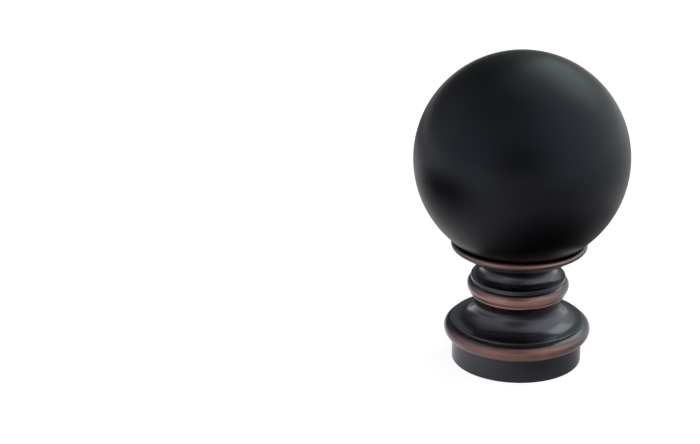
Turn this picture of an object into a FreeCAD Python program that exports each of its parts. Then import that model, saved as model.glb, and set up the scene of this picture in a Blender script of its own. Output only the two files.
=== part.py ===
"""Ball finial for a 28 mm curtain pole, standing on the rim of its pole socket.

Lengths are millimetres and angles are degrees. +Z runs up the axis of the turning, from the
mouth of the socket to the top of the ball, and z = 0 is the rim of the socket. The grub screw
sits in the rear of the socket wall, towards +Y.

The finial is a cast base and a hollow ball. A screw inside the base pulls the ball down on a
small flat seat, and the base ends in a thin cup that follows the ball all round.
"""
import FreeCAD, Part
import math
import os

# Ball
ball_diameter = 60.0
ball_wall = 1.2
seat_radius = 5.5
boss_margin = 1.5
boss_length = 10.0

# Pole socket and skirt
pole_diameter = 28.0
pole_clearance = 0.3
socket_depth = 11.0
socket_lead_in = 0.5
skirt_wall = 4.1
skirt_height = 6.6
skirt_edge_round = 0.2

# Flange bead, rounder below its crest than above it, with a small square step on top
bead_rise = 2.35
bead_lower_round = 2.95
bead_upper_round = 2.05
step_height = 0.66
step_rise = 0.35

# Cove from the step in to the neck, one arc that curls out again above its narrowest place
cove_radius = 4.75
cove_curl = 42.0
neck_radius = 12.25

# Ring bead over the cove, of the same form, on a narrow upright quirk and with its own step
quirk_height = 0.4
ring_rise = 2.15
ring_lower_round = 3.0
ring_upper_round = 1.75
ring_step_height = 1.15
ring_step_rise = 1.1

# Hollow from the ring's step in to the upper neck, one arc that runs out smoothly into the cup
hollow_radius = 2.43
upper_neck_radius = 10.0

# Cup that holds the ball, an even wall with a fully rounded rim
cup_gap = 0.12
cup_wall = 1.9
cup_rim_radius = 19.2

# Rounding of the two step edges
step_edge_round = 0.15

# Cored pocket above the socket floor, tapered to draw from the die
neck_wall = 3.05
pocket_draft = 1.5
pocket_drop = 0.5
pocket_corner_round = 1.2

# Fixing screw, a pan head with a cross recess
screw_diameter = 5.0
screw_hole_clearance = 0.25
screw_thread_clearance = 0.05
screw_engagement = 9.3
screw_tip_chamfer = 0.6
head_diameter = 9.5
head_height = 3.7
head_edge_height = 1.6
head_shoulder_inset = 0.55
head_crown_margin = 0.3
recess_span = 5.0
recess_slot = 1.25
recess_depth = 2.4
recess_root_radius = 0.9

# Split spring washer under the head, pressed flat
washer_outer_diameter = 9.2
washer_bore_clearance = 0.15
washer_thickness = 1.2
washer_slit = 0.5
washer_slit_lean = 20.0

# Grub screw that grips the pole, with a hexagon socket and a cup point
grub_diameter = 4.0
grub_clearance = 0.05
grub_end_recess = 0.05
grub_key_width = 2.0
grub_key_depth = 1.8
grub_cup_radius = 1.1
grub_cup_depth = 0.6
grub_edge_chamfer = 0.35

# Radii that follow from the pole and the neck
socket_radius = pole_diameter / 2 + pole_clearance
skirt_radius = socket_radius + skirt_wall
bead_radius = skirt_radius + bead_rise
step_radius = skirt_radius + step_rise
ring_radius = neck_radius + ring_rise
ring_step_radius = neck_radius + ring_step_rise
pocket_radius = neck_radius - neck_wall


def arc_height(size, depth):
    """Height from the crest of an arc of this radius to where it lies depth behind the crest."""
    return math.sqrt(size ** 2 - (size - depth) ** 2)


# Heights of the mouldings, stacked from the rim of the socket
bead_z = skirt_height + arc_height(bead_lower_round, bead_rise)
step_top = bead_z + arc_height(bead_upper_round, bead_rise - step_rise) + step_height
neck_z = step_top + cove_radius
quirk_radius = neck_radius + cove_radius * (1 - math.cos(math.radians(cove_curl)))
quirk_z = neck_z + cove_radius * math.sin(math.radians(cove_curl))
ring_z = quirk_z + quirk_height + arc_height(ring_lower_round, ring_radius - quirk_radius)
ring_step_top = ring_z + arc_height(ring_upper_round, ring_rise - ring_step_rise) + ring_step_height
upper_neck_z = ring_step_top + hollow_radius

# The ball's centre, from the cup whose underside touches the hollow's arc
ball_radius = ball_diameter / 2
dish_radius = ball_radius + cup_gap
cup_outer_radius = dish_radius + cup_wall
hollow_middle_radius = upper_neck_radius + hollow_radius
ball_z = upper_neck_z + math.sqrt((cup_outer_radius + hollow_radius) ** 2 - hollow_middle_radius ** 2)
seat_z = ball_z - math.sqrt(ball_radius ** 2 - seat_radius ** 2)

# Pocket, screw and washer stack
pocket_top = ring_step_top - pocket_drop
screw_radius = screw_diameter / 2
washer_under = pocket_top - washer_thickness
screw_length = screw_engagement + seat_z - washer_under
thread_hole_radius = screw_radius + screw_thread_clearance
screw_hole_radius = screw_radius + screw_hole_clearance

AXIS_FOOT = FreeCAD.Vector(0, 0, 0)
UP = FreeCAD.Vector(0, 0, 1)
REAR = FreeCAD.Vector(0, 1, 0)


class Outline:
    """Half section of a turned piece, drawn as lines and arcs in the plane y = 0."""

    def __init__(self, radius, z):
        self.start = (radius, z)
        self.here = (radius, z)
        self.edges = []

    @staticmethod
    def point(place):
        return FreeCAD.Vector(place[0], 0, place[1])

    def line(self, radius, z):
        self.edges.append(Part.LineSegment(self.point(self.here), self.point((radius, z))).toShape())
        self.here = (radius, z)

    def arc(self, centre, radius, z):
        """The shorter arc about centre to (radius, z)."""
        size = math.dist(centre, self.here)
        middle = [(a + b) / 2 - c for a, b, c in zip(self.here, (radius, z), centre)]
        reach = size / math.hypot(*middle)
        way = (centre[0] + middle[0] * reach, centre[1] + middle[1] * reach)
        self.bend(way, radius, z)

    def bend(self, way, radius, z):
        """The arc through the place way to (radius, z)."""
        ends = [self.point(place) for place in (self.here, way, (radius, z))]
        self.edges.append(Part.Arc(*ends).toShape())
        self.here = (radius, z)

    def turned(self):
        """The closed outline turned once round the axis."""
        self.line(*self.start)
        return Part.Face(Part.Wire(self.edges)).revolve(AXIS_FOOT, UP, 360)


def on_circle(centre, size, radius):
    """How far above or below its centre a circle of the given size stands at this radius."""
    return math.sqrt(size ** 2 - (radius - centre[0]) ** 2)


def add_bead(outline, crest, crest_z, lower_round, upper_round, end_radius):
    """A bead from the wall that the outline has reached, out to its crest and back to end_radius."""
    wall = outline.here[0]
    outline.line(wall, crest_z - arc_height(lower_round, crest - wall))
    outline.arc((crest - lower_round, crest_z), crest, crest_z)
    end_z = crest_z + arc_height(upper_round, crest - end_radius)
    outline.arc((crest - upper_round, crest_z), end_radius, end_z)


def rounded(solid, size, places):
    """The solid with the circular edges at these (radius, z) places rounded."""
    edges = [
        edge for edge in solid.Edges
        if isinstance(edge.Curve, Part.Circle)
        and any(math.dist((edge.Curve.Radius, edge.Curve.Center.z), place) < 0.001 for place in places)
    ]
    return solid.makeFillet(size, edges)


def add_mouldings(outline):
    """Skirt, bead, step, cove, ring bead, step and hollow, from the rim up."""
    outline.line(skirt_radius - skirt_edge_round, 0)
    outline.arc((skirt_radius - skirt_edge_round, skirt_edge_round), skirt_radius, skirt_edge_round)
    add_bead(outline, bead_radius, bead_z, bead_lower_round, bead_upper_round, step_radius)
    outline.line(step_radius, step_top)
    outline.line(neck_radius + cove_radius, step_top)
    outline.bend((neck_radius, neck_z), quirk_radius, quirk_z)
    add_bead(outline, ring_radius, ring_z, ring_lower_round, ring_upper_round, ring_step_radius)
    outline.line(ring_step_radius, ring_step_top)
    outline.line(hollow_middle_radius, ring_step_top)
    reach = cup_outer_radius / (cup_outer_radius + hollow_radius)
    touch = (hollow_middle_radius * reach, ball_z + (upper_neck_z - ball_z) * reach)
    outline.bend((upper_neck_radius, upper_neck_z), *touch)


def add_cup(outline):
    """Underside, rounded rim and dish of the cup, each an arc about the centre of the ball."""
    centre = (0, ball_z)
    rim_round = cup_wall / 2
    rim_middle = dish_radius + rim_round
    lean = math.asin((cup_rim_radius - rim_round) / rim_middle)
    out, down = math.sin(lean), -math.cos(lean)
    rim_centre = (rim_middle * out, ball_z + rim_middle * down)
    outline.arc(centre, cup_outer_radius * out, ball_z + cup_outer_radius * down)
    rim_tip = (rim_centre[0] - down * rim_round, rim_centre[1] + out * rim_round)
    outline.bend(rim_tip, dish_radius * out, ball_z + dish_radius * down)
    outline.arc(centre, seat_radius, ball_z - on_circle(centre, dish_radius, seat_radius))


def add_bores(outline):
    """Seat, screw hole, cored pocket, pole socket and lead-in, from the top down."""
    pocket_top_radius = pocket_radius - (pocket_top - socket_depth) * math.tan(math.radians(pocket_draft))
    outline.line(seat_radius, seat_z)
    outline.line(screw_hole_radius, seat_z)
    outline.line(screw_hole_radius, pocket_top)
    outline.line(pocket_top_radius, pocket_top)
    outline.line(pocket_radius, socket_depth)
    outline.line(socket_radius, socket_depth)
    outline.line(socket_radius, socket_lead_in)
    return pocket_top_radius


def make_base():
    outline = Outline(socket_radius + socket_lead_in, 0)
    add_mouldings(outline)
    add_cup(outline)
    pocket_top_radius = add_bores(outline)
    base = outline.turned()
    base = rounded(base, step_edge_round, [(step_radius, step_top), (ring_step_radius, ring_step_top)])
    base = rounded(base, pocket_corner_round, [(pocket_top_radius, pocket_top)])
    hole = Part.makeCylinder(
        grub_diameter / 2 + grub_clearance, skirt_radius, FreeCAD.Vector(0, 0, skirt_height / 2), REAR
    )
    return base.cut(hole)


def make_ball():
    """A shell with a threaded boss inside, open only at the boss."""
    inner_radius = ball_radius - ball_wall
    boss_radius = seat_radius + boss_margin
    centre = (0, ball_z)
    outline = Outline(thread_hole_radius, seat_z)
    outline.line(seat_radius, seat_z)
    outline.bend((ball_radius, ball_z), 0, ball_z + ball_radius)
    outline.line(0, ball_z + inner_radius)
    outline.bend((inner_radius, ball_z), boss_radius, ball_z - on_circle(centre, inner_radius, boss_radius))
    outline.line(boss_radius, seat_z + boss_length)
    outline.line(thread_hole_radius, seat_z + boss_length)
    return outline.turned()


def make_cross_recess():
    """The tapered cross in the head, its floor up at recess_depth from the head's crown."""
    crown = washer_under - head_height
    cone = Part.makeCone(recess_span / 2, recess_root_radius, recess_depth, FreeCAD.Vector(0, 0, crown), UP)
    corner = FreeCAD.Vector(-recess_span / 2, -recess_slot / 2, crown)
    bar = Part.makeBox(recess_span, recess_slot, recess_depth, corner)
    crossbar = bar.copy()
    crossbar.rotate(AXIS_FOOT, UP, 90)
    return cone.common(bar.fuse(crossbar))


def make_fixing_screw():
    head_radius = head_diameter / 2
    crown_radius = recess_span / 2 + head_crown_margin
    tip = washer_under + screw_length
    outline = Outline(0, tip)
    outline.line(screw_radius - screw_tip_chamfer, tip)
    outline.line(screw_radius, tip - screw_tip_chamfer)
    outline.line(screw_radius, washer_under)
    outline.line(head_radius, washer_under)
    outline.line(head_radius, washer_under - head_edge_height)
    shoulder = (head_radius - head_shoulder_inset, washer_under - (head_edge_height + head_height) / 2)
    outline.bend(shoulder, crown_radius, washer_under - head_height)
    outline.line(0, washer_under - head_height)
    return outline.turned().cut(make_cross_recess())


def make_spring_washer():
    bore = screw_radius + washer_bore_clearance
    outer = washer_outer_diameter / 2
    foot = FreeCAD.Vector(0, 0, washer_under)
    ring = Part.makeCylinder(outer, washer_thickness, foot).cut(Part.makeCylinder(bore, washer_thickness, foot))
    slit = Part.makeBox(washer_slit, outer * 2, washer_thickness * 3)
    slit.translate(FreeCAD.Vector(-washer_slit / 2, 0, washer_under - washer_thickness))
    middle = FreeCAD.Vector(0, 0, washer_under + washer_thickness / 2)
    slit.rotate(middle, REAR, washer_slit_lean)
    return ring.cut(slit)


def make_grub_screw():
    """Drawn along +Z from the cup point to the key socket, then laid along +Y in the skirt wall."""
    radius = grub_diameter / 2
    length = skirt_wall - 2 * grub_end_recess
    outline = Outline(0, grub_cup_depth)
    outline.line(grub_cup_radius, 0)
    outline.line(radius - grub_edge_chamfer, 0)
    outline.line(radius, grub_edge_chamfer)
    outline.line(radius, length - grub_edge_chamfer)
    outline.line(radius - grub_edge_chamfer, length)
    outline.line(0, length)
    body = outline.turned()
    corner_radius = grub_key_width / math.sqrt(3)
    angles = [math.radians(60 * turn) for turn in range(7)]
    corners = [
        FreeCAD.Vector(corner_radius * math.cos(a), corner_radius * math.sin(a), length) for a in angles
    ]
    key = Part.Face(Part.makePolygon(corners)).extrude(FreeCAD.Vector(0, 0, -grub_key_depth))
    screw = body.cut(key)
    screw.rotate(AXIS_FOOT, FreeCAD.Vector(1, 0, 0), -90)
    screw.translate(FreeCAD.Vector(0, socket_radius + grub_end_recess, skirt_height / 2))
    return screw


def main():
    pieces = {
        "base": make_base(),
        "ball": make_ball(),
        "fixing_screw": make_fixing_screw(),
        "spring_washer": make_spring_washer(),
        "grub_screw": make_grub_screw(),
    }
    os.makedirs("parts", exist_ok=True)
    for name, piece in pieces.items():
        solid = piece.Solids[0]
        solid.exportStep("parts/" + name + ".step")
        box = solid.BoundBox
        print(name, "valid", solid.isValid(), "solids", len(piece.Solids), "volume", round(solid.Volume, 1),
              "z", round(box.ZMin, 3), round(box.ZMax, 3), "x", round(box.XMin, 3), round(box.XMax, 3))
    print("screw length", round(screw_length, 2), "ball centre", round(ball_z, 3), "seat", round(seat_z, 3))


main()
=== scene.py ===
"""Ball finial for a curtain pole: finishes, threads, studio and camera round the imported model.

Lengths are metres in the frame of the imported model: +Z up the axis of the turning, the camera
towards -Y, and the floor at z = 0.
"""
import math

import bmesh
import bpy
from mathutils import Matrix, Vector


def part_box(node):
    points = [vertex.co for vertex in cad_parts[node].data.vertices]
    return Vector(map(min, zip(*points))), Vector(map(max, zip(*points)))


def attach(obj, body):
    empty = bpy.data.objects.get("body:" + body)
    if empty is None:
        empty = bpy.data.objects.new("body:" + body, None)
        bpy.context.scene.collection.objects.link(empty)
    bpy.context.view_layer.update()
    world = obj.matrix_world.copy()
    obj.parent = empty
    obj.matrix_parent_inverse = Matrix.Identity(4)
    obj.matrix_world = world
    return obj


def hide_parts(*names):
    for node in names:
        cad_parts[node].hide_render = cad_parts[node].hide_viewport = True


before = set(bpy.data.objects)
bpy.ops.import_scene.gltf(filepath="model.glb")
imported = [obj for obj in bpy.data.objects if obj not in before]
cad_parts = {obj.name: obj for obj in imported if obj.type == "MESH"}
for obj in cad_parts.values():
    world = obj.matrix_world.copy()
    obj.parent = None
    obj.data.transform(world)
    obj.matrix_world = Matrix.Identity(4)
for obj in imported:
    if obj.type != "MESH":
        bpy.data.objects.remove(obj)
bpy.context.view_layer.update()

MM = 0.001
ball_low, ball_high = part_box("ball")
ball_radius = (ball_high.x - ball_low.x) / 2
ball_centre = Vector((0, 0, ball_high.z - ball_radius))

# Camera, measured in the photograph's frame of 700 by 444 pixels
PHOTO_WIDTH = 700
PHOTO_HEIGHT = 444
SENSOR_WIDTH = 36.0
FOCAL_PIXELS = 1891.0
BALL_PIXEL = (521.65, 158.2)
SIGHT_DISTANCE = 0.525
SIGHT_ELEVATION = math.radians(19.268)
CAMERA_ROLL = math.radians(-0.242)

# Where the copper shows through on the base: from the foot it is full up to one height and gone
# at the next, and it begins at the inner radius
FLANGE_COPPER = {"foot": 6.5 * MM, "full": 9.4 * MM, "gone": 11.7 * MM, "inner": 18.5 * MM}
RING_COPPER = {"foot": 20.2 * MM, "full": 21.9 * MM, "gone": 24.2 * MM, "inner": 13.35 * MM}
CUP_COPPER = {"foot": 33.9 * MM, "full": 40.0 * MM, "gone": 41.0 * MM, "inner": 18.4 * MM}
COPPER_EDGE = 0.25 * MM
COPPER_WANDER = 0.9 * MM
CUP_SHARE = 0.42

# Painted shade: the copper is painted thinner from the front and rear, where |x| / radius is 0, to
# the sides, where it is 1
SIDE_SHADE_START = 0.3
SIDE_SHADE_SHARE = 0.28

# Painted light: the copper colour is painted duller up to the flange's top and brighter from the
# ring up
PAINTED_SHADE_TOP = 14 * MM
PAINTED_LIGHT_FOOT = 19 * MM
PAINTED_SHADE_GAIN = 0.86
PAINTED_LIGHT_GAIN = 1.6

# Threads: corners of one turn's outline as parts of the pitch and of the depth, then the depth
# and the run-out at each end in pitches
THREAD_PROFILE = ((0.0, 0), (0.125, 0), (0.4375, 1), (0.6875, 1))
THREAD_DEPTH = 0.613
THREAD_FADE = 0.5
SHARP_ANGLE = math.radians(35)
WELD = 0.002 * MM
GRUB_SCREW_HEIGHT = 3.3 * MM

# Floor
FLOOR_REACH = 4.0
FLOOR_SINK = 0.05 * MM
FLOOR_COLOUR = 0.30
FLOOR_GLOW = 0.90

# Sky: azimuth from the camera's side towards +X, elevation above the horizon, both in degrees
SKY_LEVEL = 0.575
SKY_COLOUR = (0.94, 0.97, 1.0)
SKY_PATCHES = (
    {"azimuth": 108, "elevation": 26, "reach": 84, "gain": 0.55},
    {"azimuth": 145, "elevation": 65, "reach": 34, "gain": 0.27},
    {"azimuth": -65, "elevation": -5, "reach": 55, "gain": 0.12},
    {"azimuth": -145, "elevation": 81, "reach": 63, "gain": -0.31},
    {"azimuth": -168, "elevation": -2, "reach": 77, "gain": -0.49},
    {"azimuth": -2, "elevation": 11, "reach": 36, "gain": -0.37},
)

# Key lamp, and the greener sky round it
KEY_AZIMUTH = 146.0
KEY_ELEVATION = 42.0
KEY_DISTANCE = 0.7
KEY_WIDTH = 0.55
KEY_HEIGHT = 0.42
KEY_RADIANCE = 1.06
KEY_COLOUR = (0.84, 1.0, 0.90)
GREEN_REACH = 58
GREEN_FULL = 20
GREEN_SKY_COLOUR = (0.84, 0.97, 0.92)

# Painted shade cards, dark sheets that paint the floor's shade into reflections, each of pools:
# middle x and y, full inside this radius, gone at this one, and cover
SHADE_REACH = 1.0
LOW_CARD_HEIGHT = -FLOOR_SINK / 2
LOW_CARD_POOLS = (
    (0.026, -0.043, 0.008, 0.078, 0.80),
    (0.305, 0.110, 0.245, 0.485, 0.39),
    (0.068, -0.212, 0.068, 0.241, 0.41),
    (0.139, -0.635, 0.288, 0.568, 0.41),
    (-0.190, -0.020, 0.055, 0.180, 0.97),
    (-0.304, 0.472, 0.155, 0.494, 0.89),
)
HIGH_CARD_HEIGHT = 29 * MM
HIGH_CARD_HOLE = 19.5 * MM
HIGH_CARD_POOLS = (
    (0.026, -0.004, 0.014, 0.046, 0.53),
    (0.005, -0.013, 0.010, 0.035, 0.85),
)
HOLE_EDGE = 2 * MM


def rgb(red, green, blue):
    return (red, green, blue, 1.0)


class Shader:
    """Short names for the nodes that the finishes and the sky are made of."""

    def __init__(self, tree):
        self.tree = tree

    def feed(self, socket, value):
        if isinstance(value, bpy.types.NodeSocket):
            self.tree.links.new(value, socket)
        else:
            socket.default_value = value

    def node(self, kind, **inputs):
        made = self.tree.nodes.new(kind)
        for name, value in inputs.items():
            self.feed(made.inputs[name.replace("_", " ")], value)
        return made

    def place(self):
        """Position in the frame of the model."""
        return self.node("ShaderNodeTexCoord").outputs["Object"]

    def maths(self, operation, first, second=0.0):
        made = self.tree.nodes.new("ShaderNodeMath")
        made.operation = operation
        self.feed(made.inputs[0], first)
        self.feed(made.inputs[1], second)
        return made.outputs[0]

    def product(self, first, *others):
        for other in others:
            first = self.maths("MULTIPLY", first, other)
        return first

    def vector_maths(self, operation, first, second=(0, 0, 0)):
        made = self.tree.nodes.new("ShaderNodeVectorMath")
        made.operation = operation
        self.feed(made.inputs[0], first)
        self.feed(made.inputs[1], second)
        return made

    def coordinate(self, place, letter):
        return self.node("ShaderNodeSeparateXYZ", Vector=place).outputs[letter]

    def axis_distance(self, place):
        flat = self.vector_maths("MULTIPLY", place, (1, 1, 0)).outputs["Vector"]
        return self.vector_maths("LENGTH", flat).outputs["Value"]

    def noise(self, place, size, detail=3.0, stretch=(1, 1, 1)):
        """Noise from 0 to 1 with features of about this size."""
        scaled = self.vector_maths("MULTIPLY", place, stretch).outputs["Vector"]
        made = self.node("ShaderNodeTexNoise", Vector=scaled, Scale=1 / size, Detail=detail)
        return made.outputs["Fac"]

    def ramp(self, value, start, end, low=0.0, high=1.0):
        """Goes smoothly from low to high while value goes from start to end."""
        made = self.node(
            "ShaderNodeMapRange",
            Value=value, From_Min=start, From_Max=end, To_Min=low, To_Max=high,
        )
        made.interpolation_type = "SMOOTHSTEP"
        return made.outputs["Result"]

    def blend(self, amount, first, second):
        made = self.tree.nodes.new("ShaderNodeMix")
        made.data_type = "RGBA"
        colour_sockets = [socket for socket in made.inputs if socket.type == "RGBA"]
        self.feed(made.inputs["Factor"], amount)
        self.feed(colour_sockets[0], first)
        self.feed(colour_sockets[1], second)
        return [socket for socket in made.outputs if socket.type == "RGBA"][0]

    def bump(self, height, depth):
        """Relief of this depth in metres from a height of 0 to 1."""
        made = self.node("ShaderNodeBump", Height=height, Distance=depth, Strength=1.0)
        return made.outputs["Normal"]

    def from_above(self):
        """1 for rays that meet a level sheet from above, 0 for those from below."""
        below = self.node("ShaderNodeNewGeometry").outputs["Backfacing"]
        return self.maths("SUBTRACT", 1.0, below)


class MaterialShader(Shader):
    """The nodes of a new material of this name."""

    def __init__(self, name):
        self.material = bpy.data.materials.new(name)
        self.material.use_nodes = True
        super().__init__(self.material.node_tree)
        self.tree.nodes.clear()
        self.output = self.tree.nodes.new("ShaderNodeOutputMaterial")

    def show(self, surface, amount=1.0):
        """Shows this surface by the amount, and is clear for the rest."""
        mix = self.tree.nodes.new("ShaderNodeMixShader")
        self.feed(mix.inputs["Fac"], amount)
        self.feed(mix.inputs[1], self.node("ShaderNodeBsdfTransparent").outputs["BSDF"])
        self.feed(mix.inputs[2], surface)
        self.feed(self.output.inputs["Surface"], mix.outputs["Shader"])

    def principled(self, **inputs):
        surface = self.node("ShaderNodeBsdfPrincipled", **inputs)
        self.tree.links.new(surface.outputs["BSDF"], self.output.inputs["Surface"])
        return self.material


def make_ball_finish():
    """Satin black lacquer, faintly uneven in its sheen."""
    shader = MaterialShader("ball_satin_black")
    place = shader.place()
    clouds = shader.noise(place, size=14 * MM, detail=4.0)
    grain = shader.noise(place, size=0.25 * MM, detail=2.0)
    return shader.principled(
        Base_Color=shader.blend(clouds, rgb(0.0010, 0.0010, 0.0013), rgb(0.0016, 0.0016, 0.0020)),
        Roughness=shader.ramp(clouds, 0.3, 0.7, low=0.33, high=0.36),
        Specular_IOR_Level=0.36,
        Specular_Tint=rgb(0.78, 0.80, 1.0),
        Normal=shader.bump(grain, depth=0.002 * MM),
    )


def copper_band(shader, place, band, wander):
    """1 on a bead's lower half and crest, fading out up towards its step."""
    height = shader.maths("ADD", shader.coordinate(place, "Z"), wander)
    below = shader.ramp(height, band["full"], band["gone"], low=1.0, high=0.0)
    above = shader.ramp(height, band["foot"] - COPPER_EDGE, band["foot"] + COPPER_EDGE)
    radius = shader.axis_distance(place)
    out = shader.ramp(radius, band["inner"] - COPPER_EDGE / 2, band["inner"] + COPPER_EDGE / 2)
    return shader.product(below, above, out)


def make_base_finish():
    """Dark plated metal, worn back to copper on the crests of the beads and on the cup's rim; the
    copper has painted shade towards the sides and painted light from the ring up.
    """
    shader = MaterialShader("base_black_and_copper")
    place = shader.place()
    patches = shader.noise(place, size=7 * MM, detail=3.0)
    streaks = shader.noise(place, size=1.6 * MM, detail=4.0, stretch=(0.35, 0.35, 2.5))
    grain = shader.noise(place, size=0.2 * MM, detail=2.0)

    wander = shader.product(shader.maths("SUBTRACT", patches, 0.5), COPPER_WANDER)
    flange = copper_band(shader, place, FLANGE_COPPER, wander)
    ring = copper_band(shader, place, RING_COPPER, wander)
    cup = shader.product(copper_band(shader, place, CUP_COPPER, wander), CUP_SHARE)
    copper = shader.maths("MAXIMUM", shader.maths("MAXIMUM", flange, ring), cup)
    # Painted shade: the worn copper is thinned towards the sides
    sideways = shader.maths("ABSOLUTE", shader.coordinate(place, "X"))
    sideways = shader.maths("DIVIDE", sideways, shader.axis_distance(place))
    copper_wear_and_side_shade = shader.product(
        copper,
        shader.ramp(sideways, SIDE_SHADE_START, 1.0, low=1.0, high=SIDE_SHADE_SHARE),
        shader.ramp(streaks, 0.25, 0.55, low=0.8, high=1.0),
    )

    dark = shader.blend(streaks, rgb(0.046, 0.045, 0.060), rgb(0.064, 0.063, 0.080))
    bright = shader.blend(streaks, rgb(0.46, 0.205, 0.155), rgb(0.58, 0.270, 0.205))
    height = shader.coordinate(place, "Z")
    # Painted light: the copper colour is darker on the flange and lighter from the ring up
    gain = shader.ramp(height, PAINTED_SHADE_TOP, PAINTED_LIGHT_FOOT, low=PAINTED_SHADE_GAIN, high=PAINTED_LIGHT_GAIN)
    bright = shader.vector_maths("MULTIPLY", bright, gain).outputs["Vector"]
    return shader.principled(
        Base_Color=shader.blend(copper_wear_and_side_shade, dark, bright),
        Metallic=shader.ramp(copper_wear_and_side_shade, 0.1, 1.0, low=1.0, high=0.4),
        Roughness=shader.ramp(copper_wear_and_side_shade, 0.0, 1.0, low=0.31, high=0.46),
        Coat_Weight=1.0,
        Coat_Roughness=0.18,
        Specular_Tint=shader.blend(copper_wear_and_side_shade, rgb(0.6, 0.6, 0.66), rgb(1, 1, 1)),
        Normal=shader.bump(grain, depth=0.003 * MM),
    )


def make_plated_steel():
    """Bright zinc plate with a fine drawn grain."""
    shader = MaterialShader("zinc_plated_steel")
    place = shader.place()
    clouds = shader.noise(place, size=1.5 * MM, detail=4.0)
    grain = shader.noise(place, size=0.15 * MM, detail=2.0)
    return shader.principled(
        Base_Color=shader.blend(clouds, rgb(0.46, 0.47, 0.49), rgb(0.60, 0.61, 0.62)),
        Metallic=1.0,
        Roughness=shader.ramp(clouds, 0.2, 0.8, low=0.26, high=0.38),
        Normal=shader.bump(grain, depth=0.004 * MM),
    )


def make_black_steel():
    """Black oxide with the dull lustre of oiled steel."""
    shader = MaterialShader("black_oxide_steel")
    place = shader.place()
    clouds = shader.noise(place, size=0.8 * MM, detail=4.0)
    return shader.principled(
        Base_Color=shader.blend(clouds, rgb(0.030, 0.030, 0.033), rgb(0.055, 0.054, 0.056)),
        Metallic=1.0,
        Roughness=shader.ramp(clouds, 0.2, 0.8, low=0.34, high=0.48),
        Normal=shader.bump(clouds, depth=0.006 * MM),
    )


def dress(node, material):
    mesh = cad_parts[node].data
    mesh.materials.clear()
    mesh.materials.append(material)


def thread_rows(ring, low, high, pitch):
    """Height and depth of each point of the thread, for each direction of the ring in turn."""
    turns = math.ceil((high - low) / pitch) + 1
    for column in range(len(ring) + 1):
        rows = []
        for row in range(turns * len(THREAD_PROFILE) + 1):
            turn, step = divmod(row, len(THREAD_PROFILE))
            part, deep = THREAD_PROFILE[step]
            around = column / len(ring)
            if column < len(ring):
                around = (ring[column][0] - ring[0][0]) / math.tau
            height = min(max(low + pitch * (turn - 1 + part + around), low), high)
            fade = min(1.0, min(height - low, high - height) / (THREAD_FADE * pitch))
            rows.append((height, deep * fade * THREAD_DEPTH * pitch))
        yield ring[column % len(ring)][1], rows


def cut_thread(node, material, axis, centre, radius, pitch):
    """Copies a screw, with a right-handed thread in place of its plain shank."""
    along = "XYZ".index(axis)
    mesh = bmesh.new()
    mesh.from_mesh(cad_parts[node].data)
    bmesh.ops.remove_doubles(mesh, verts=mesh.verts, dist=WELD)

    def outwards(vert):
        offset = vert.co - centre
        offset[along] = 0
        return offset

    shank = []
    for face in mesh.faces:
        heights = [vert.co[along] for vert in face.verts]
        on_shank = all(abs(outwards(vert).length - radius) < WELD for vert in face.verts)
        if on_shank and max(heights) - min(heights) > pitch:
            shank.append(face)
    bmesh.ops.delete(mesh, geom=shank, context="FACES")
    rim = {vert for edge in mesh.edges if edge.is_boundary for vert in edge.verts}
    low = min(vert.co[along] for vert in rim)
    high = max(vert.co[along] for vert in rim)
    ring = []
    for vert in rim:
        if vert.co[along] - low < WELD:
            offset = outwards(vert)
            angle = math.atan2(offset[(along + 2) % 3], offset[(along + 1) % 3])
            ring.append((angle, offset.normalized()))
    ring.sort(key=lambda item: item[0])

    grid = []
    for direction, rows in thread_rows(ring, low, high, pitch):
        column = []
        for height, depth in rows:
            point = centre + direction * (radius - depth)
            point[along] = height
            column.append(mesh.verts.new(point))
        grid.append(column)
    for left, right in zip(grid, grid[1:]):
        for row in range(len(left) - 1):
            mesh.faces.new((left[row], right[row], right[row + 1], left[row + 1]))
    bmesh.ops.remove_doubles(mesh, verts=mesh.verts, dist=WELD)
    bmesh.ops.recalc_face_normals(mesh, faces=mesh.faces)
    if not all(edge.is_manifold for edge in mesh.edges):
        raise ValueError(f"the thread of {node} isn't closed")
    for face in mesh.faces:
        face.smooth = True

    data = bpy.data.meshes.new(f"{node}_threaded")
    mesh.to_mesh(data)
    mesh.free()
    data.set_sharp_from_angle(angle=SHARP_ANGLE)
    data.materials.append(material)
    piece = bpy.data.objects.new(f"{node}_threaded", data)
    bpy.context.scene.collection.objects.link(piece)
    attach(piece, "root")
    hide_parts(node)


def make_level_sheet(name, reach, height, material):
    """A level square that reaches this far from the axis to each side."""
    mesh = bpy.data.meshes.new(name)
    corners = [(-reach, -reach, 0), (reach, -reach, 0), (reach, reach, 0), (-reach, reach, 0)]
    mesh.from_pydata(corners, [], [(0, 1, 2, 3)])
    mesh.materials.append(material)
    sheet = bpy.data.objects.new(name, mesh)
    sheet.location.z = height
    bpy.context.scene.collection.objects.link(sheet)
    return sheet


def make_floor():
    """A floor that keeps the shadow, white to the camera and in gloss, and clear from below."""
    shader = MaterialShader("floor_white")
    rays = shader.node("ShaderNodeLightPath").outputs
    seen = shader.maths("ADD", rays["Is Camera Ray"], rays["Is Glossy Ray"])
    seen = shader.maths("ADD", seen, rays["Is Transmission Ray"])
    surface = shader.node(
        "ShaderNodeBsdfPrincipled",
        Base_Color=rgb(FLOOR_COLOUR, FLOOR_COLOUR, FLOOR_COLOUR),
        Roughness=1.0,
        Specular_IOR_Level=0.0,
        Emission_Color=rgb(1, 1, 1),
        Emission_Strength=shader.product(shader.maths("MINIMUM", seen, 1.0), FLOOR_GLOW),
    )
    shader.show(surface.outputs["BSDF"], shader.from_above())
    floor = make_level_sheet("floor", FLOOR_REACH, -FLOOR_SINK, shader.material)


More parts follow.
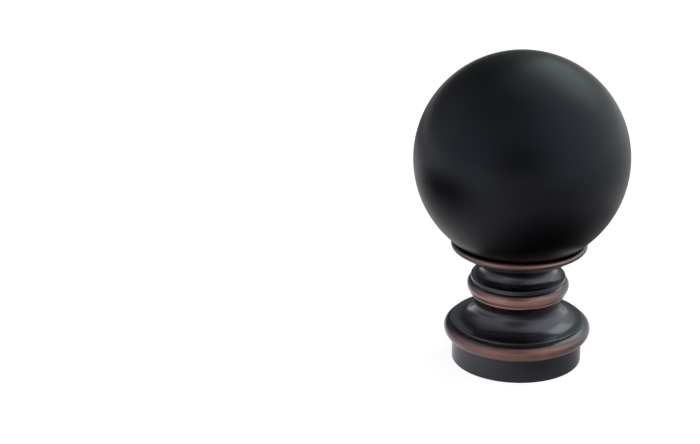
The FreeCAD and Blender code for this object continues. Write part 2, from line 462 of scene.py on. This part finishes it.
def make_painted_shade_card(name, height, pools, hole=0.0):
    """A level dark card of painted shade in soft-edged pools, seen only from above and only in
    gloss.
    """
    shader = MaterialShader(name)
    place = shader.place()
    clear_part = 1.0
    for x, y, full, gone, cover in pools:
        away = shader.vector_maths("SUBTRACT", place, (x, y, 0)).outputs["Vector"]
        through = shader.ramp(shader.axis_distance(away), full, gone, low=1 - cover, high=1.0)
        clear_part = shader.product(through, clear_part)
    cover = shader.product(shader.from_above(), shader.maths("SUBTRACT", 1.0, clear_part))
    if hole:
        cover = shader.product(
            cover, shader.ramp(shader.axis_distance(place), hole, hole + HOLE_EDGE)
        )
    black = shader.node("ShaderNodeEmission", Color=rgb(0, 0, 0), Strength=0.0)
    shader.show(black.outputs["Emission"], cover)
    card = make_level_sheet(name, SHADE_REACH, height, shader.material)
    card.visible_camera = False
    card.visible_diffuse = False
    card.visible_shadow = False


def heading(azimuth, elevation):
    """Unit vector from degrees; azimuth 0 is towards the camera and 90 is towards +X."""
    around = math.radians(azimuth)
    up = math.radians(elevation)
    level = math.cos(up)
    return Vector((math.sin(around) * level, -math.cos(around) * level, math.sin(up)))


def make_world():
    """An even pale sky with a few broad soft patches, lighter or darker than the rest."""
    world = bpy.data.worlds.new("studio")
    world.use_nodes = True
    sky = Shader(world.node_tree)
    background = sky.tree.nodes["Background"]
    direction = sky.node("ShaderNodeTexCoord").outputs["Generated"]

    def patch(azimuth, elevation, reach, full=0, gain=1.0):
        """The gain up to one angle in degrees from this heading, and 0 from the reach on."""
        towards = heading(azimuth, elevation)
        nearness = sky.vector_maths("DOT_PRODUCT", direction, towards).outputs["Value"]
        start = math.cos(math.radians(reach))
        return sky.ramp(nearness, start, math.cos(math.radians(full)), low=0.0, high=gain)

    level = SKY_LEVEL
    for settings in SKY_PATCHES:
        level = sky.maths("ADD", patch(**settings), level)
    green = patch(KEY_AZIMUTH, KEY_ELEVATION, GREEN_REACH, GREEN_FULL)
    colour = sky.blend(green, rgb(*SKY_COLOUR), rgb(*GREEN_SKY_COLOUR))
    sky.feed(background.inputs["Color"], colour)
    sky.feed(background.inputs["Strength"], level)
    bpy.context.scene.world = world


def make_key_lamp():
    """A large soft box, high behind the finial on the right."""
    light = bpy.data.lights.new("key", "AREA")
    light.shape = "RECTANGLE"
    light.size = KEY_WIDTH
    light.size_y = KEY_HEIGHT
    light.energy = KEY_RADIANCE * math.pi * KEY_WIDTH * KEY_HEIGHT
    light.color = KEY_COLOUR
    lamp = bpy.data.objects.new("key", light)
    away = heading(KEY_AZIMUTH, KEY_ELEVATION)
    lamp.location = ball_centre + away * KEY_DISTANCE
    lamp.rotation_mode = "QUATERNION"
    lamp.rotation_quaternion = away.to_track_quat("Z", "Y")
    bpy.context.scene.collection.objects.link(lamp)


def make_camera():
    """Stands where the ball's centre falls on its pixel, at the fitted distance and elevation."""
    across = (BALL_PIXEL[0] - PHOTO_WIDTH / 2) / FOCAL_PIXELS
    rise = (PHOTO_HEIGHT / 2 - BALL_PIXEL[1]) / FOCAL_PIXELS
    roll = Matrix.Rotation(CAMERA_ROLL, 3, "Z")
    sight = (roll @ Vector((across, rise, -1))).normalized()
    spread = math.hypot(sight.y, sight.z)
    lean = math.asin(math.sin(SIGHT_ELEVATION) / spread) + math.atan2(sight.y, -sight.z)
    tilt = Matrix.Rotation(math.pi / 2 - lean, 3, "X")
    level = tilt @ sight
    turn = Matrix.Rotation(math.atan2(level.x, level.y), 3, "Z")
    data = bpy.data.cameras.new("camera")
    data.sensor_width = SENSOR_WIDTH
    data.lens = SENSOR_WIDTH * FOCAL_PIXELS / PHOTO_WIDTH
    data.clip_start = 0.01
    data.clip_end = 20.0
    camera = bpy.data.objects.new("camera", data)
    camera.matrix_world = (turn @ tilt @ roll).to_4x4()
    back = Vector((0, -math.cos(SIGHT_ELEVATION), math.sin(SIGHT_ELEVATION)))
    camera.location = ball_centre + back * SIGHT_DISTANCE
    bpy.context.scene.collection.objects.link(camera)
    bpy.context.scene.camera = camera


make_camera()
make_world()
make_key_lamp()
make_floor()
# Two dark cards paint the floor's shade near the finial into reflections only
make_painted_shade_card("low_painted_shade_card", LOW_CARD_HEIGHT, LOW_CARD_POOLS)
make_painted_shade_card("high_painted_shade_card", HIGH_CARD_HEIGHT, HIGH_CARD_POOLS, HIGH_CARD_HOLE)

plated_steel = make_plated_steel()
black_steel = make_black_steel()
dress("ball", make_ball_finish())
dress("base", make_base_finish())
dress("fixing_screw", plated_steel)
dress("spring_washer", plated_steel)
dress("grub_screw", black_steel)
cut_thread(
    "fixing_screw", plated_steel,
    axis="Z", centre=Vector((0, 0, 0)), radius=2.5 * MM, pitch=0.8 * MM,
)
cut_thread(
    "grub_screw", black_steel,
    axis="Y", centre=Vector((0, 0, GRUB_SCREW_HEIGHT)), radius=2.0 * MM, pitch=0.7 * MM,
)
bpy.context.scene.view_settings.view_transform = "Standard"
